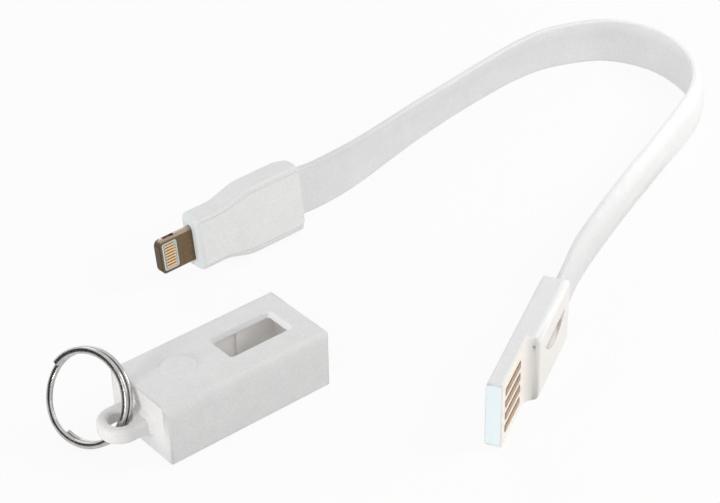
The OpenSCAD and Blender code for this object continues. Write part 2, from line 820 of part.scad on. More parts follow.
module computer_board() {
    hw = comp_w / 2 - comp_wall - fit_gap;
    x0 = comp_front_x + comp_wall + fit_gap;
    color("seagreen") comp_place() translate([x0, comp_board_y, -hw])
        cube([comp_board_x1 - x0, comp_board_t, 2 * hw]);
}

module computer_chip() {
    chip = [2.9, 0.55, 1.6];
    chip_set = 5.2;                       // from the cove
    color("black") comp_place()
        translate([cove_x + chip_set, comp_board_y - chip[1], -chip[2] / 2]) cube(chip);
}

module computer_capacitors() {
    color("tan") comp_place()
        for (i = [0:2])
            translate([cove_x + 3, comp_board_y - cap_size[1], -2.2 + 2 * i]) cube(cap_size);
}

comp_core_y = comp_board_y - core_r;
comp_clamp_w = 8.6;
phone_clamp_w = 8;

module computer_wires() {
    color("firebrick") comp_place() cores(comp_board_x1 - 1.6, comp_core_y, core_r);
}

module computer_wire_clamp() {
    color("ivory") comp_place() wire_clamp(comp_core_y, comp_clamp_w, hollow_front_y, back_y - back_t);
}

// ---------- ribbon ----------

// Middle of the ribbon from the phone plug round to the computer plug:
// [x, y, height above the floor of the lower edge, lean of the top edge in degrees]
ribbon_route = [
    [44.1, 32.2, 1.9, 5], [49.7, 33.1, 1.6, 4], [57.8, 35, 1.1, 0], [66.3, 37.3, 0.7, -4],
    [74.7, 39.4, 0.4, -7], [82.9, 41.1, 0.2, -9], [90.8, 42.5, 0.1, -9], [98.6, 43.6, 0.1, -8],
    [105.7, 44.2, 0.1, -6], [111.7, 43.8, 0.1, -4], [117.7, 41.9, 0.1, -3], [123, 38.9, 0.1, -2],
    [126.3, 34.3, 0.1, 0], [127.8, 28.8, 0.1, 0], [127.4, 23, 0.1, -1], [125.2, 16.8, 0.1, -4],
    [121.4, 11.8, 0.1, -8], [116.6, 8.4, 0.1, -6], [110.6, 5.6, 0.1, -3],
    [103, 2.6, 0.1, 0], [95, -0.6, 0.2, 1], [87, -3.8, 0.4, 1], [79, -7.2, 0.6, 1],
    [71, -10.8, 0.9, 1], [63, -14.7, 1.2, 0.5], [56, -18.7, 1.4, 0]
];

// The loop and its two legs' far ends move out together when the loop reaches further
route_reach = 87.9;
legs_x = 50;                              // where the legs begin to give
loop_run = 60;                            // length over which they do
function reach_out(x) = x + (loop_reach - route_reach) * ease((x - legs_x) / loop_run);

route = concat([[phone_at[0], phone_at[1], phone_z - ribbon_w / 2, phone_lean]],
    [for (p = ribbon_route) [reach_out(p[0]), p[1], p[2], p[3]]],
    [[comp_at[0], comp_at[1], comp_z - ribbon_w / 2, 0]]);
route_n = len(route);

// Catmull-Rom slope at each route point, with the plug's heading at both ends
function slope_at(i) =
    i == 0 ? 5 * [cos(phone_yaw), sin(phone_yaw), 0, 0]
    : i == route_n - 1 ? -5 * [cos(comp_yaw), sin(comp_yaw), 0, 0]
    : (route[i + 1] - route[i - 1]) / 2;

function hermite(p, q, m, n, t) =
    (2 * t * t * t - 3 * t * t + 1) * p + (t * t * t - 2 * t * t + t) * m
    + (3 * t * t - 2 * t * t * t) * q + (t * t * t - t * t) * n;
function hermite_slope(p, q, m, n, t) =
    (6 * t * t - 6 * t) * (p - q) + (3 * t * t - 4 * t + 1) * m + (3 * t * t - 2 * t) * n;

// Points and directions along the ribbon between the two plugs
route_steps = 2;
ribbon_line = [for (i = [0:route_n - 2], k = [0:route_steps - 1])
    if (i + k > 0) let (t = k / route_steps, p = route[i], q = route[i + 1],
        m = slope_at(i), n = slope_at(i + 1), d = hermite_slope(p, q, m, n, t))
        [hermite(p, q, m, n, t), [d[0], d[1]]]];

edge_r = 0.4 * ribbon_t;
ribbon_section = [
    for (p = [[0.5, 1, -1], [0.2, 1, 0], [-0.2, 1, 0], [-0.5, 1, -1],
              [-0.5, -1, 1], [-0.2, -1, 0], [0.2, -1, 0], [0.5, -1, 1]])
        [p[0] * ribbon_t, p[1] * ribbon_w / 2 + p[2] * edge_r]
];

function ribbon_row(item) =
    let (p = item[0], d = item[1] / norm(item[1]), side = [-d[1], d[0], 0],
         lean = p[3], up = [0, 0, cos(lean)] + sin(lean) * side,
         out = cos(lean) * side - [0, 0, sin(lean)],
         mid = [p[0], p[1], p[2] + ribbon_w / 2])
    [for (s = ribbon_section) mid + s[0] * out + s[1] * up];

// Point of a plug's own frame in the shared frame
function turn_y(p, a) = [p[0] * cos(a) + p[2] * sin(a), p[1], p[2] * cos(a) - p[0] * sin(a)];
function turn_x(p, a) = [p[0], p[1] * cos(a) - p[2] * sin(a), p[1] * sin(a) + p[2] * cos(a)];
function turn_z(p, a) = [p[0] * cos(a) - p[1] * sin(a), p[0] * sin(a) + p[1] * cos(a), p[2]];
function phone_point(p) = [phone_at[0], phone_at[1], phone_z]
    + turn_z(turn_x(turn_y(p, -phone_nod), -phone_lean), phone_yaw);
function comp_point(p) = [comp_at[0], comp_at[1], comp_z] + turn_z(p, comp_yaw);

// The ribbon runs end_wall deep into each plug, square to it
ribbon_rows = concat(
    [for (x = [-end_wall, 0]) [for (s = ribbon_section) phone_point([x, s[0], s[1]])]],
    [for (item = ribbon_line) ribbon_row(item)],
    [for (x = [0, -end_wall]) [for (s = ribbon_section) comp_point([x, -s[0], s[1]])]]
);

module ribbon_jacket() {
    color("white") polyhedron([for (row = ribbon_rows) each row],
        tube_faces(len(ribbon_rows), len(ribbon_section)));
}

// Free length of the ribbon from one plug's rear face to the other's
row_mids = [for (row = ribbon_rows) (row[0] + row[4]) / 2];
ribbon_steps = [for (i = [2:len(row_mids) - 2]) norm(row_mids[i] - row_mids[i - 1])];
function total(v, i = 0) = i < len(v) ? v[i] + total(v, i + 1) : 0;
echo(ribbon_free_length = total(ribbon_steps));  // ribbon_jacket

holder_body();
socket_guide();
split_ring();
phone_tongue();
phone_contact_frame_front();
phone_contact_frame_back();
phone_contacts_front();
phone_contacts_back();
phone_board();
phone_chip();
phone_capacitors();
phone_shield();
phone_wires();
phone_wire_clamp();
phone_housing();
phone_cover();
ribbon_jacket();
computer_plug_body();
computer_plug_back();
contact_power();
contact_data_minus();
contact_data_plus();
contact_ground();
computer_board();
computer_chip();
computer_capacitors();
computer_wires();
computer_wire_clamp();
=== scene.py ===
import math

import bpy
from mathutils import Matrix, Vector


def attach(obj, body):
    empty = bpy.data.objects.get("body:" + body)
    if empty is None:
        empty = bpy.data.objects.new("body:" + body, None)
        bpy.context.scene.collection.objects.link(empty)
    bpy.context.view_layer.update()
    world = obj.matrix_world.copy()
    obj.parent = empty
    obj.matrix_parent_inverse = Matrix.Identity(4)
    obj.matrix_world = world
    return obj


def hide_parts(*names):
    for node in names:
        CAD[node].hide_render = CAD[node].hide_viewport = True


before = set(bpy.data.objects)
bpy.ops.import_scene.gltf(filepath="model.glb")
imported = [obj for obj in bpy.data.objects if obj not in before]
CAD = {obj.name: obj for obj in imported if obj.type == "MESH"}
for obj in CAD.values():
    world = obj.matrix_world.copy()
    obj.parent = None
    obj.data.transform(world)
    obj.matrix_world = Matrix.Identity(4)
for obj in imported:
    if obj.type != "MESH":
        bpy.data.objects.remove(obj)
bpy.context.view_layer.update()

# Where the plugs lie: rear centre, heading, sideways lean and nod, as in part.scad
PHONE_AT = Vector((0.03949, 0.03189, 0.0068576))
PHONE_YAW, PHONE_LEAN, PHONE_NOD = 0.5, 6, 1.1
PLUG_AT = Vector((0.0511, -0.0215, 0.00605))
PLUG_YAW = 29.7

# Landmarks in a piece's own frame: the phone plug's contacts, the computer plug's tip and
# the holder's ring end
PAD_X, PAD_HALF = -0.0271, 0.00092
PLUG_TIP_X = -0.0302
RING_END_X = -0.0157


def frame_of(at, yaw, lean=0, nod=0):
    """A plug's own frame: rear centre, +X to the rear, front face -Y."""
    return (Matrix.Translation(at) @ Matrix.Rotation(math.radians(yaw), 4, "Z")
            @ Matrix.Rotation(math.radians(-lean), 4, "X")
            @ Matrix.Rotation(math.radians(-nod), 4, "Y"))


PHONE = frame_of(PHONE_AT, PHONE_YAW, PHONE_LEAN, PHONE_NOD)
PLUG = frame_of(PLUG_AT, PLUG_YAW)


# ---------- camera, first because the ribbon is measured against its view ----------

CAMERA_AT = Vector((-0.14781, -0.21405, 0.20504))
CAMERA_RIGHT = Vector((0.76742, -0.64104, -0.01162)).normalized()
CAMERA_AHEAD = Vector((0.52457, 0.63820, -0.56350)).normalized()
CAMERA_LENS, CAMERA_FILM = 105, 36


def place_camera():
    """The long lens that the whole set is seen through, from above its ring end."""
    data = bpy.data.cameras.new("studio_camera")
    data.lens = CAMERA_LENS
    data.sensor_width = CAMERA_FILM
    data.sensor_fit = "HORIZONTAL"
    data.clip_start = 0.01
    data.clip_end = 20
    camera = bpy.data.objects.new("studio_camera", data)
    up = CAMERA_RIGHT.cross(CAMERA_AHEAD)
    turn = Matrix((CAMERA_RIGHT, up, -CAMERA_AHEAD)).transposed().to_4x4()
    camera.matrix_world = Matrix.Translation(CAMERA_AT) @ turn
    bpy.context.scene.collection.objects.link(camera)
    bpy.context.scene.camera = camera


place_camera()


# ---------- node materials: places in masks are in metres, colours are linear ----------

def shader_tree(name):
    """A new material, its node tree and its shader, ready for a maker to wire up."""
    finish = bpy.data.materials.new(name)
    finish.use_nodes = True
    tree = finish.node_tree
    return finish, tree, tree.nodes["Principled BSDF"]


def add(tree, kind, **settings):
    """A node with its inputs, or its own settings, filled in."""
    node = tree.nodes.new(kind)
    for key, value in settings.items():
        if key in node.inputs:
            node.inputs[key].default_value = value
        else:
            setattr(node, key, value)
    return node


def noise(tree, source, scale, detail, rough):
    """Noise on a piece's own coordinates; scale is cells per metre."""
    field = add(tree, "ShaderNodeTexNoise")
    field.inputs["Scale"].default_value = scale
    field.inputs["Detail"].default_value = detail
    field.inputs["Roughness"].default_value = rough
    tree.links.new(source, field.inputs["Vector"])
    return field.outputs["Fac"]


def ramp(tree, fac, low, high, a=0.3, b=0.7):
    """Colours from low to high as fac goes from a to b."""
    node = add(tree, "ShaderNodeValToRGB")
    node.color_ramp.elements[0].position = a
    node.color_ramp.elements[1].position = b
    node.color_ramp.elements[0].color = (*low, 1)
    node.color_ramp.elements[1].color = (*high, 1)
    tree.links.new(fac, node.inputs["Fac"])
    return node.outputs["Color"]


def spread(tree, fac, low, high):
    """Values from low to high as fac goes from 0 to 1."""
    node = add(tree, "ShaderNodeMapRange")
    node.inputs["To Min"].default_value = low
    node.inputs["To Max"].default_value = high
    tree.links.new(fac, node.inputs["Value"])
    return node.outputs["Result"]


def bump(tree, height, depth):
    """Bump of a given real depth in metres."""
    node = add(tree, "ShaderNodeBump")
    node.inputs["Strength"].default_value = 1.0
    node.inputs["Distance"].default_value = depth
    tree.links.new(height, node.inputs["Height"])
    return node.outputs["Normal"]


def own_place(tree, at=(0, 0, 0), turn=(0, 0, 0)):
    """The X, Y and Z of a frame that stands at a place with a turn, such as a plug's own."""
    mapping = add(tree, "ShaderNodeMapping", vector_type="TEXTURE")
    mapping.inputs["Location"].default_value = at
    mapping.inputs["Rotation"].default_value = turn
    tree.links.new(add(tree, "ShaderNodeTexCoord").outputs["Object"], mapping.inputs["Vector"])
    split = add(tree, "ShaderNodeSeparateXYZ")
    tree.links.new(mapping.outputs["Vector"], split.inputs["Vector"])
    return split.outputs


def phone_place(tree):
    """The phone plug's own coordinates: from its rear centre, +X to the rear, front -Y."""
    return own_place(tree, PHONE_AT, PHONE.to_euler("XYZ"))


def step(tree, value, start, end):
    """0 where the value is at start, 1 where it is at end, evenly between."""
    node = add(tree, "ShaderNodeMapRange")
    node.inputs["From Min"].default_value = start
    node.inputs["From Max"].default_value = end
    tree.links.new(value, node.inputs["Value"])
    return node.outputs["Result"]


def both(tree, *masks):
    """1 only where every mask is."""
    whole = masks[0]
    for mask in masks[1:]:
        node = add(tree, "ShaderNodeMath", operation="MULTIPLY")
        tree.links.new(whole, node.inputs[0])
        tree.links.new(mask, node.inputs[1])
        whole = node.outputs[0]
    return whole


def band(tree, value, low, high, soft):
    """1 between low and high, fading out over soft inside both."""
    return both(tree, step(tree, value, low, low + soft), step(tree, value, high, high - soft))


def tint(tree, mask, colour, blend="MIX"):
    """Lays another colour over the piece where the mask is 1."""
    socket = tree.nodes["Principled BSDF"].inputs["Base Color"]
    mix = add(tree, "ShaderNodeMix", data_type="RGBA", blend_type=blend)
    under = socket.links[0].from_socket
    tree.links.new(mask, mix.inputs[0])
    tree.links.new(under, mix.inputs[6])
    mix.inputs[7].default_value = (*colour, 1)
    tree.links.new(mix.outputs[2], socket)


def moulded_plastic(name, pale, deep, rough=0.45, grain=3600, depth=0.000022, fleck=0.94):
    """White moulded plastic: faint clouding and flecks in the colour, a spark-eroded grain."""
    finish, tree, shader = shader_tree(name)
    place = add(tree, "ShaderNodeTexCoord").outputs["Object"]
    clouds = noise(tree, place, 260, 3, 0.6)
    fine = noise(tree, place, grain, 3, 0.65)
    flecks = noise(tree, place, grain * 0.8, 2, 0.7)
    tree.links.new(ramp(tree, clouds, deep, pale), shader.inputs["Base Color"])
    tint(tree, step(tree, flecks, 0.62, 0.42), (fleck, fleck, fleck), "MULTIPLY")
    tree.links.new(spread(tree, fine, rough - 0.08, rough + 0.08), shader.inputs["Roughness"])
    tree.links.new(bump(tree, fine, depth), shader.inputs["Normal"])
    shader.inputs["IOR"].default_value = 1.46
    return finish


def metal(name, pale, deep, rough, scale, depth=0.000002):
    """Metal with worn variation in its colour and gloss."""
    finish, tree, shader = shader_tree(name)
    place = add(tree, "ShaderNodeTexCoord").outputs["Object"]
    wear = noise(tree, place, scale, 4, 0.6)
    fine = noise(tree, place, scale * 6, 2, 0.5)
    tree.links.new(ramp(tree, wear, deep, pale, 0.25, 0.75), shader.inputs["Base Color"])
    tree.links.new(spread(tree, fine, rough - 0.07, rough + 0.1), shader.inputs["Roughness"])
    tree.links.new(bump(tree, fine, depth), shader.inputs["Normal"])
    shader.inputs["Metallic"].default_value = 1.0
    return finish


def ribbon_skin():
    """Matt white skin with painted light: whiter along its upper edge and along the leg to the
    computer plug, and painted shade along that leg's lower edge.
    """
    finish = moulded_plastic("soft_ribbon_jacket", (0.82, 0.82, 0.82), (0.785, 0.785, 0.79), 0.55)
    tree = finish.node_tree
    x, y, z = own_place(tree)
    # Painted light: the leg to the computer plug is made whiter.
    painted_light_leg = both(tree, step(tree, x, 0.068, 0.098), step(tree, y, 0.042, 0.030))
    tint(tree, painted_light_leg, (1.09, 1.09, 1.09), "MULTIPLY")
    # Painted highlight: the upper edge is made whiter.
    painted_highlight_edge = both(tree, step(tree, z, 0.0060, 0.0085), step(tree, x, 0.050, 0.085))
    tint(tree, painted_highlight_edge, (1.1, 1.1, 1.1), "MULTIPLY")
    # Painted shade: the lower edge of that leg is made darker.
    painted_shade_edge = both(tree, painted_light_leg, step(tree, x, 0.107, 0.098), step(tree, z, 0.0044, 0.0018))
    tint(tree, painted_shade_edge, (0.88, 0.88, 0.88), "MULTIPLY")
    return finish


def plug_plastic():
    """White plug with painted light: warm painted light on the tongue and the front, a painted
    highlight on the top edge, pale blue painted light on the tip and painted shade in the notch.
    """
    finish = moulded_plastic("white_plug_painted_light", (0.88, 0.88, 0.885), (0.85, 0.85, 0.855), 0.34)
    tree = finish.node_tree
    x, y, z = own_place(tree, PLUG_AT, (0, 0, math.radians(PLUG_YAW)))
    # Painted warm light on the front side of the tongue.
    tongue = both(tree, step(tree, x, -0.0165, -0.0175), step(tree, y, 0.0002, -0.0002))
    tint(tree, tongue, (0.985, 0.95, 0.895))
    # Painted warm light on the front face.
    front = step(tree, y, -0.0018, -0.0021)
    tint(tree, front, (0.875, 0.845, 0.81))
    # Painted highlight along the rounded top front edge.
    painted_highlight_top_edge = both(tree, step(tree, y, -0.0010, -0.0016), step(tree, z, 0.0050, 0.0054))
    tint(tree, painted_highlight_top_edge, (0.97, 0.97, 0.965))
    # Painted pale blue light on the tip's end face.
    painted_blue_tip = step(tree, x, PLUG_TIP_X + 0.00006, PLUG_TIP_X + 0.00003)
    tint(tree, painted_blue_tip, (0.88, 0.98, 1.0))
    # Painted shade in the nail notch, darkest under its upper edge.
    painted_shade_notch = both(tree, step(tree, y, -0.00235, -0.0013), step(tree, y, -0.0006, -0.0008),
                 step(tree, x, -0.0142, -0.0139), step(tree, x, -0.0021, -0.0026),
                 step(tree, z, -0.0012, -0.0008), step(tree, z, 0.0024, 0.0023))
    tint(tree, painted_shade_notch, (0.50, 0.455, 0.43), "MULTIPLY")
    return finish


def tongue_steel():
    """Brown-grey plated steel, with painted shade at its tip and painted light along its upper
    side.
    """
    finish = metal("plug_steel", (0.215, 0.152, 0.088), (0.135, 0.092, 0.052), 0.34, 2600)
    tree = finish.node_tree
    place = phone_place(tree)
    # Painted shade on the tip's end face.
    tint(tree, step(tree, place["X"], -0.0288, -0.0291), (0.10, 0.068, 0.040))
    # Painted light along the upper side.
    tint(tree, step(tree, place["Z"], 0.0028, 0.0032), (0.40, 0.33, 0.28))
    return finish


RESIN_GREEN = (0.60, 0.64, 0.60)


def frame_resin():
    """Grey-green resin round the contacts, with painted shade in brown in the field between them.
    """
    finish = moulded_plastic("contact_frame_resin", (0.66, 0.70, 0.66), RESIN_GREEN, 0.5)
    tree = finish.node_tree
    place = phone_place(tree)
    # Painted shade: brown in the field between the contacts.
    field = both(tree, band(tree, place["X"], PAD_X - PAD_HALF, PAD_X + PAD_HALF, 0.00004),
                 band(tree, place["Z"], -0.00225, 0.00225, 0.00005))
    tint(tree, field, (0.30, 0.165, 0.075))
    return finish


def guide_plastic():
    """The guide block, with painted light making the channel paler than its socket end."""
    finish = moulded_plastic("guide_plastic", (0.84, 0.835, 0.83), (0.81, 0.805, 0.80), 0.5,
                             fleck=0.96)
    tree = finish.node_tree
    # Painted light in the channel.
    painted_light_channel = step(tree, own_place(tree)["X"], 0.0140, 0.0136)
    tint(tree, painted_light_channel, (0.985, 0.96, 0.93))
    return finish


def housing_plastic():
    """White housing, with pale blue painted light round its nose."""
    finish = moulded_plastic("white_plug_housing", (0.84, 0.84, 0.835), (0.81, 0.81, 0.805))
    tree = finish.node_tree
    # Painted pale blue light round the nose.
    painted_blue_nose = step(tree, phone_place(tree)["X"], -0.0212, -0.0223)
    tint(tree, painted_blue_nose, (0.81, 0.85, 0.86))
    return finish


def pin_gold():
    """Gold contacts, with the resin lapping over both ends."""
    finish = metal("gold_contact_plate", (0.86, 0.62, 0.36), (0.72, 0.48, 0.25), 0.28, 1600)
    tree = finish.node_tree
    x = phone_place(tree)["X"]
    for side in (-1, 1):
        lap = step(tree, x, PAD_X + side * 0.00086, PAD_X + side * 0.00091)
        tint(tree, lap, RESIN_GREEN)
    return finish


def holder_plastic():
    """White block, with painted light inside its cavity and window and on its ring end, and
    painted shade on the foot of that end.
    """
    finish = moulded_plastic("white_moulded_shell", (0.835, 0.835, 0.83), (0.80, 0.80, 0.795))
    tree = finish.node_tree
    x, y, z = own_place(tree)
    # Painted light inside the cavity.
    inside = both(tree, step(tree, x, -0.0015, -0.0010), band(tree, y, -0.0069, 0.0069, 0.0002),
                  band(tree, z, 0.0012, 0.0098, 0.0001))
    tint(tree, inside, (0.985, 0.965, 0.94))
    # Painted pale bluish light in the window.
    painted_light_window = both(tree, step(tree, x, -0.0022, -0.0018), band(tree, y, -0.0039, 0.0030, 0.0003),
                  step(tree, z, 0.0109, 0.0106))
    tint(tree, painted_light_window, (0.93, 0.945, 0.955))
    # Painted warm light on the ring end face.
    end = step(tree, x, RING_END_X + 0.0007, RING_END_X + 0.0001)
    tint(tree, end, (1.06, 1.045, 1.04), "MULTIPLY")
    # Painted shade on the end face, darker towards the bottom.
    painted_shade_foot = both(tree, end, step(tree, z, 0.0052, 0.0014))
    tint(tree, painted_shade_foot, (0.87, 0.885, 0.90), "MULTIPLY")
    return finish


WHITE_SHELL = holder_plastic()
COVER_SHELL = moulded_plastic("pale_cover_shell", (0.89, 0.89, 0.885), (0.86, 0.86, 0.86))
GUIDE = guide_plastic()
RIBBON = ribbon_skin()
PLUG_WHITE = plug_plastic()
STEEL = tongue_steel()
POLISHED = metal("polished_ring_steel", (0.62, 0.61, 0.60), (0.40, 0.39, 0.38), 0.11, 800)
GOLD = pin_gold()
HOUSING = housing_plastic()
STRIP_GOLD = metal("worn_contact_strip", (0.62, 0.44, 0.29), (0.38, 0.25, 0.15), 0.4, 1900)
FRAME_PLASTIC = frame_resin()
BOARD = moulded_plastic("board_laminate", (0.05, 0.26, 0.12), (0.03, 0.19, 0.08), 0.35, 4000)
CHIP = moulded_plastic("chip_resin", (0.03, 0.03, 0.032), (0.02, 0.02, 0.022), 0.5, 9000)
CAPACITOR = moulded_plastic("capacitor_ceramic", (0.50, 0.36, 0.22), (0.42, 0.29, 0.17), 0.5, 7000)
SHIELD = metal("shield_tin", (0.66, 0.66, 0.64), (0.55, 0.55, 0.53), 0.35, 1200)
CORE = moulded_plastic("core_insulation", (0.55, 0.06, 0.05), (0.45, 0.04, 0.035), 0.45, 5000)
CLAMP = moulded_plastic("clamp_nylon", (0.78, 0.75, 0.66), (0.72, 0.69, 0.60), 0.5, 5000)

CAD_FINISHES = {
    "holder_body": WHITE_SHELL, "socket_guide": GUIDE, "split_ring": POLISHED,
    "phone_tongue": STEEL, "phone_contact_frame_front": FRAME_PLASTIC,
    "phone_contact_frame_back": FRAME_PLASTIC, "phone_contacts_front": GOLD,
    "phone_contacts_back": GOLD, "phone_board": BOARD, "phone_chip": CHIP,
    "phone_capacitors": CAPACITOR, "phone_shield": SHIELD, "phone_wires": CORE,
    "phone_wire_clamp": CLAMP, "phone_housing": HOUSING, "phone_cover": COVER_SHELL,
    "ribbon_jacket": RIBBON, "computer_plug_body": PLUG_WHITE, "computer_plug_back": PLUG_WHITE,
    "contact_power": STRIP_GOLD, "contact_data_minus": STRIP_GOLD,
    "contact_data_plus": STRIP_GOLD, "contact_ground": STRIP_GOLD, "computer_board": BOARD,
    "computer_chip": CHIP, "computer_capacitors": CAPACITOR, "computer_wires": CORE,
    "computer_wire_clamp": CLAMP,
}


WELD_REACH = 0.000002


def dress(node, finish):
    """Gives a CAD node its finish, joins its loose triangles and evens its shading."""
    piece = CAD[node]
    piece.data.materials.clear()
    piece.data.materials.append(finish)
    join = piece.modifiers.new("join", "WELD")
    join.merge_threshold = WELD_REACH
    even = piece.modifiers.new("even", "WEIGHTED_NORMAL")
    even.keep_sharp = True
    even.weight = 100


for node, finish in CAD_FINISHES.items():
    dress(node, finish)


# ---------- shared modelling helpers ----------

SHARP_ANGLE = math.radians(50)


def finish_mesh(name, verts, faces, finish):
    """A mesh object from points and faces, smooth but for its sharp edges."""
    mesh = bpy.data.meshes.new(name)
    mesh.from_pydata([tuple(v) for v in verts], [], faces)
    mesh.validate()
    piece = bpy.data.objects.new(name, mesh)
    bpy.context.scene.collection.objects.link(piece)
    mesh.materials.append(finish)
    bpy.ops.object.select_all(action="DESELECT")
    piece.select_set(True)
    bpy.context.view_layer.objects.active = piece
    bpy.ops.object.shade_smooth_by_angle(angle=SHARP_ANGLE)
    return piece


def sweep(name, rows, finish):
    """A closed tube through rows of points that run the same way round, with flat ends."""
    k = len(rows[0])
    verts = [p for row in rows for p in row]
    faces = [[r * k + j, r * k + (j + 1) % k, (r + 1) * k + (j + 1) % k, (r + 1) * k + j]
             for r in range(len(rows) - 1) for j in range(k)]
    last = (len(rows) - 1) * k
    faces += [list(range(k))[::-1], [last + j for j in range(k)]]
    piece = finish_mesh(name, verts, faces, finish)
    uv = piece.data.uv_layers.new(name="along")
    for poly in piece.data.polygons:
        for loop in poly.loop_indices:
            v = piece.data.loops[loop].vertex_index
            uv.data[loop].uv = (v // k / len(rows), v % k / k)
    return piece


def ease(t):
    """Smoothly from 0 to 1 as t goes from 0 to 1."""
    c = min(1, max(0, t))
    return c * c * (3 - 2 * c)


def flat_section(half_t, half_w, r, steps=4, spans=10):
    """Rounded strip, counter-clockwise: [across its thickness, across its width]."""
    def corner(side_t, side_w, start):
        turns = [math.radians(start + 90 * k / steps) for k in range(steps + 1)]
        return [(side_t * (half_t - r) + r * math.cos(a), side_w * (half_w - r) + r * math.sin(a))
                for a in turns]

    run = [(half_w - r) * (1 - 2 * k / spans) for k in range(1, spans)]
    return (corner(1, 1, 0) + corner(-1, 1, 90) + [(-half_t, v) for v in run]
            + corner(-1, -1, 180) + corner(1, -1, 270) + [(half_t, -v) for v in run])


# ---------- the flat ribbon ----------

# Middle of the ribbon from the phone plug round to the computer plug:
# x, y, height of the lower edge and, in degrees, the lean of the top edge
RIBBON_ROUTE = [
    (0.0441, 0.0322, 0.0019, 5), (0.0497, 0.0331, 0.0016, 4), (0.0578, 0.035, 0.0011, 0),
    (0.0663, 0.0373, 0.0007, -4), (0.0747, 0.0394, 0.0004, -7), (0.0829, 0.0411, 0.0002, -9),
    (0.0908, 0.0425, 0.0001, -9), (0.0986, 0.0436, 0.0001, -8), (0.1057, 0.0442, 0.0001, -6),
    (0.1117, 0.0438, 0.0001, -4), (0.1177, 0.0419, 0.0001, -3), (0.123, 0.0389, 0.0001, -2),
    (0.1263, 0.0343, 0.0001, 0), (0.1278, 0.0288, 0.0001, 0), (0.1274, 0.023, 0.0001, -1),
    (0.1252, 0.0168, 0.0001, -4), (0.1214, 0.0118, 0.0001, -8), (0.1166, 0.0084, 0.0001, -6),
    (0.1106, 0.0056, 0.0001, -3), (0.103, 0.0026, 0.0001, 0), (0.095, -0.0006, 0.0002, 1),
    (0.087, -0.0038, 0.0004, 1), (0.079, -0.0072, 0.0006, 1), (0.071, -0.0108, 0.0009, 1),
    (0.063, -0.0147, 0.0012, 0.5), (0.056, -0.0187, 0.0014, 0),
]
RIBBON_W, RIBBON_T, RIBBON_ROUND = 0.0092, 0.0011, 0.00042
# How far the ribbon bows across its width, and over what length at each plug it begins to
RIBBON_BOW, BOW_RUN = 0.0009, 0.016
# How far the ribbon reaches into a plug's rear wall, and how firmly it leaves straight
END_WALL, END_PULL = 0.0009, 0.005
ROWS_PER_POINT = 8


def on_curve(p, q, m, n, t):
    """Place and heading at t on the cubic curve from p to q, whose end slopes are m and n."""
    at = ((2 * t**3 - 3 * t * t + 1) * p + (t**3 - 2 * t * t + t) * m
          + (3 * t * t - 2 * t**3) * q + (t**3 - t * t) * n)
    go = ((6 * t * t - 6 * t) * (p - q) + (3 * t * t - 4 * t + 1) * m
          + (3 * t * t - 2 * t) * n)
    return at, go


def upright(section, at, go, bow):
    """The section stood across the heading, leaning by at.w degrees and bowed over its width."""
    half = RIBBON_W / 2
    side = Vector((-go.y, go.x, 0)).normalized()
    lean = math.radians(at.w)
    up = Vector((0, 0, math.cos(lean))) + math.sin(lean) * side
    out = math.cos(lean) * side - Vector((0, 0, math.sin(lean)))
    mid = Vector((at.x, at.y, at.z + half))
    return [mid + (s[0] + bow * (0.5 - (s[1] / half) ** 2)) * out + s[1] * up for s in section]


def ribbon_rows(section):
    """Every row of the ribbon, from inside the phone plug to inside the computer plug."""
    half = RIBBON_W / 2
    route = [Vector((PHONE_AT.x, PHONE_AT.y, PHONE_AT.z - half, PHONE_LEAN))]
    route += [Vector(p) for p in RIBBON_ROUTE]
    route += [Vector((PLUG_AT.x, PLUG_AT.y, PLUG_AT.z - half, 0))]
    heading = [Vector((math.cos(math.radians(a)), math.sin(math.radians(a)), 0, 0))
               for a in (PHONE_YAW, PLUG_YAW)]
    slopes = ([END_PULL * heading[0]]
              + [(route[i + 1] - route[i - 1]) / 2 for i in range(1, len(route) - 1)]
              + [-END_PULL * heading[1]])
    rows = [[PHONE @ Vector((x, s[0], s[1])) for s in section] for x in (-END_WALL, 0)]
    for i in range(len(route) - 1):
        p, q, m, n = route[i], route[i + 1], slopes[i], slopes[i + 1]
        for k in range(ROWS_PER_POINT):
            if i + k == 0:
                continue
            at, go = on_curve(p, q, m, n, k / ROWS_PER_POINT)
            free = min((at.xy - route[0].xy).length, (at.xy - route[-1].xy).length)
            rows.append(upright(section, at, go, RIBBON_BOW * ease(free / BOW_RUN)))
    rows += [[PLUG @ Vector((x, -s[0], s[1])) for s in section] for x in (0, -END_WALL)]
    return rows


def lay_ribbon():
    """The ribbon, swept from inside the phone plug to inside the computer plug, riding with the
    cable.
    """
    rows = ribbon_rows(flat_section(RIBBON_T / 2, RIBBON_W / 2, RIBBON_ROUND))
    ribbon = sweep("flat_ribbon", rows, RIBBON)
    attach(ribbon, "cable")
    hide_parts("ribbon_jacket")


lay_ribbon()


# ---------- the split ring ----------

# Radius to the wire's middle, the wire's width and thickness, and the gap between the turns
RING_R, WIRE_W, WIRE_T, TURN_GAP = 0.00733, 0.0011, 0.0007, 0.00045
WIRE_ROUND, RING_STEPS = 0.0003, 200
RING_MID = Vector((-0.020387, 0.006584, 0.007481))
# Heading and tilt of the ring's axis, in degrees
RING_YAW, RING_TILT = 18, -24.6
# Over how many degrees the wire steps from one turn to the next, and about which angle
JOG_SPAN, JOG_MID = 96, -20


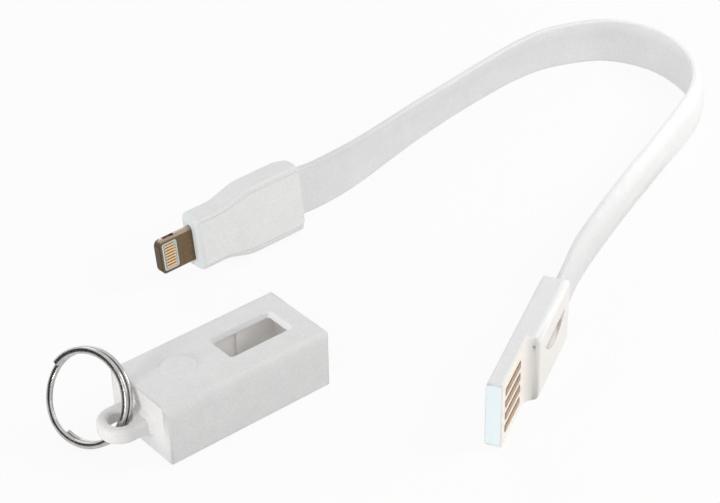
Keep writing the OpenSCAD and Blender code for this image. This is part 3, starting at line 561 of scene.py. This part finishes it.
def wind_ring():
    """The wire's rounded section, spun nearly two turns while it steps along the ring's axis."""
    yaw, tilt = math.radians(RING_YAW), math.radians(RING_TILT)
    axis = Vector((math.cos(tilt) * math.cos(yaw), math.cos(tilt) * math.sin(yaw), math.sin(tilt)))
    left = Vector((-math.sin(yaw), math.cos(yaw), 0))
    pitch = WIRE_T + TURN_GAP
    start, stop = JOG_MID + JOG_SPAN / 2 - 360, JOG_MID - JOG_SPAN / 2 + 360
    out = Matrix.Rotation(math.radians(start), 3, axis) @ left

    bpy.ops.object.select_all(action="DESELECT")
    bpy.ops.mesh.primitive_plane_add(size=1)
    ring = bpy.context.active_object
    ring.name = "key_split_ring"
    place = Matrix((out * WIRE_W, axis * WIRE_T, axis.cross(out))).transposed().to_4x4()
    place.translation = RING_MID + RING_R * out - pitch / 2 * axis
    ring.matrix_world = place
    bpy.ops.object.transform_apply(location=True, rotation=True, scale=True)

    bpy.ops.object.mode_set(mode="EDIT")
    bpy.ops.mesh.select_all(action="SELECT")
    bpy.ops.mesh.bevel(offset=WIRE_ROUND, segments=4, affect="VERTICES")
    turn = (stop - start) / RING_STEPS
    shift = 0
    for i in range(RING_STEPS):
        reach = pitch * ease((start + (i + 1) * turn - JOG_MID + JOG_SPAN / 2) / JOG_SPAN)
        bpy.ops.mesh.spin(steps=1, angle=math.radians(-turn), center=RING_MID, axis=axis)
        bpy.ops.transform.translate(value=(reach - shift) * axis)
        shift = reach
    bpy.ops.mesh.select_all(action="SELECT")
    bpy.ops.mesh.normals_make_consistent(inside=False)
    bpy.ops.object.mode_set(mode="OBJECT")
    ring.data.materials.append(POLISHED)
    bpy.ops.object.shade_smooth_by_angle(angle=SHARP_ANGLE)
    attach(ring, "key_ring")
    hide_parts("split_ring")


wind_ring()


# ---------- studio: floor, world and lamps ----------

# Share of plain white in what the camera sees of the floor, and the even light's strength
FLOOR_WHITE, EVEN_LIGHT = 0.90, 0.61
MIDDLE = (0.05, 0.0, 0.0)
RIGHT_LEG = (0.09, 0.0, 0.005)
WARM_WHITE = (1.0, 0.975, 0.945)


def straight_view(tree):
    """1 for a ray from the camera, off a glossy surface or through a clear one."""
    rays = add(tree, "ShaderNodeLightPath")
    seen = add(tree, "ShaderNodeMath", operation="MAXIMUM")
    bright = add(tree, "ShaderNodeMath", operation="MAXIMUM")
    tree.links.new(rays.outputs["Is Camera Ray"], seen.inputs[0])
    tree.links.new(rays.outputs["Is Glossy Ray"], seen.inputs[1])
    tree.links.new(seen.outputs[0], bright.inputs[0])
    tree.links.new(rays.outputs["Is Transmission Ray"], bright.inputs[1])
    return bright.outputs[0]


def lay_floor():
    """Pale paper that looks almost white to the camera and still takes the shadows."""
    bpy.ops.object.select_all(action="DESELECT")
    bpy.ops.mesh.primitive_plane_add(size=6, location=MIDDLE)
    floor = bpy.context.active_object
    floor.name = "studio_floor"
    paper, tree, shader = shader_tree("white_paper_floor")
    shader.inputs["Base Color"].default_value = (0.86, 0.86, 0.86, 1)
    shader.inputs["Roughness"].default_value = 0.9
    shader.inputs["Specular IOR Level"].default_value = 0.0
    glow = add(tree, "ShaderNodeEmission", Color=(1, 1, 1, 1), Strength=1.0)
    mix = add(tree, "ShaderNodeMixShader")
    share = add(tree, "ShaderNodeMath", operation="MULTIPLY")
    share.inputs[1].default_value = FLOOR_WHITE
    tree.links.new(straight_view(tree), share.inputs[0])
    tree.links.new(share.outputs[0], mix.inputs["Fac"])
    tree.links.new(shader.outputs["BSDF"], mix.inputs[1])
    tree.links.new(glow.outputs["Emission"], mix.inputs[2])
    tree.links.new(mix.outputs[0], tree.nodes["Material Output"].inputs["Surface"])
    floor.data.materials.append(paper)


def light_world(strength):
    """White all round where it is seen, and a soft even light on the pieces."""
    world = bpy.data.worlds.new("soft_studio")
    bpy.context.scene.world = world
    world.use_nodes = True
    tree = world.node_tree
    even = tree.nodes["Background"]
    even.inputs["Color"].default_value = (0.98, 0.99, 1.0, 1)
    even.inputs["Strength"].default_value = strength
    white = add(tree, "ShaderNodeBackground", Color=(1, 1, 1, 1), Strength=1.0)
    mix = add(tree, "ShaderNodeMixShader")
    tree.links.new(straight_view(tree), mix.inputs["Fac"])
    tree.links.new(even.outputs[0], mix.inputs[1])
    tree.links.new(white.outputs[0], mix.inputs[2])
    tree.links.new(mix.outputs[0], tree.nodes["World Output"].inputs["Surface"])


def facing(at, heading):
    """A place and the turn that points +Z along a heading."""
    return Matrix.Translation(at) @ heading.to_track_quat("Z", "Y").to_matrix().to_4x4()


def hang_lamp(name, at, aim, size, power, colour=(1, 1, 1)):
    """A round soft lamp at a place, aimed at another."""
    data = bpy.data.lights.new(name, "AREA")
    data.shape = "DISK"
    data.size = size
    data.energy = power
    data.color = colour
    lamp = bpy.data.objects.new(name, data)
    lamp.matrix_world = facing(at, Vector(at) - Vector(aim))
    bpy.context.scene.collection.objects.link(lamp)


def stand_dark_card(at, aim, size):
    """A dark sheet seen only in glossy surfaces, which paints dark reflections into the ring."""
    bpy.ops.object.select_all(action="DESELECT")
    bpy.ops.mesh.primitive_plane_add(size=size)
    card = bpy.context.active_object
    card.name = "dark_card"
    card.matrix_world = facing(at, Vector(aim) - Vector(at))
    cloth, tree, shader = shader_tree("painted_dark_reflection_card")
    shader.inputs["Base Color"].default_value = (0.06, 0.06, 0.06, 1)
    shader.inputs["Roughness"].default_value = 1.0
    shader.inputs["Specular IOR Level"].default_value = 0.0
    card.data.materials.append(cloth)
    card.visible_camera = False
    card.visible_diffuse = False
    card.visible_shadow = False
    card.visible_transmission = False


lay_floor()
# A dark sheet that paints dark reflections into the ring.
stand_dark_card((-0.28, 0.047, 0.050), RING_MID, 0.17)
light_world(EVEN_LIGHT)
hang_lamp("right_softbox", (0.20, -0.12, 0.16), (0.09, -0.01, 0.005), 0.12, 0.205, WARM_WHITE)
hang_lamp("right_low_lamp", (0.28, -0.18, 0.06), RIGHT_LEG, 0.12, 0.065, WARM_WHITE)
hang_lamp("left_lamp", (-0.30, -0.02, 0.07), (-0.015, 0.0, 0.006), 0.06, 0.33,
          (1.0, 0.985, 0.975))
hang_lamp("back_fill", (0.15, 0.45, 0.30), MIDDLE, 0.3, 0.32)
bpy.context.scene.view_settings.view_transform = "Standard"
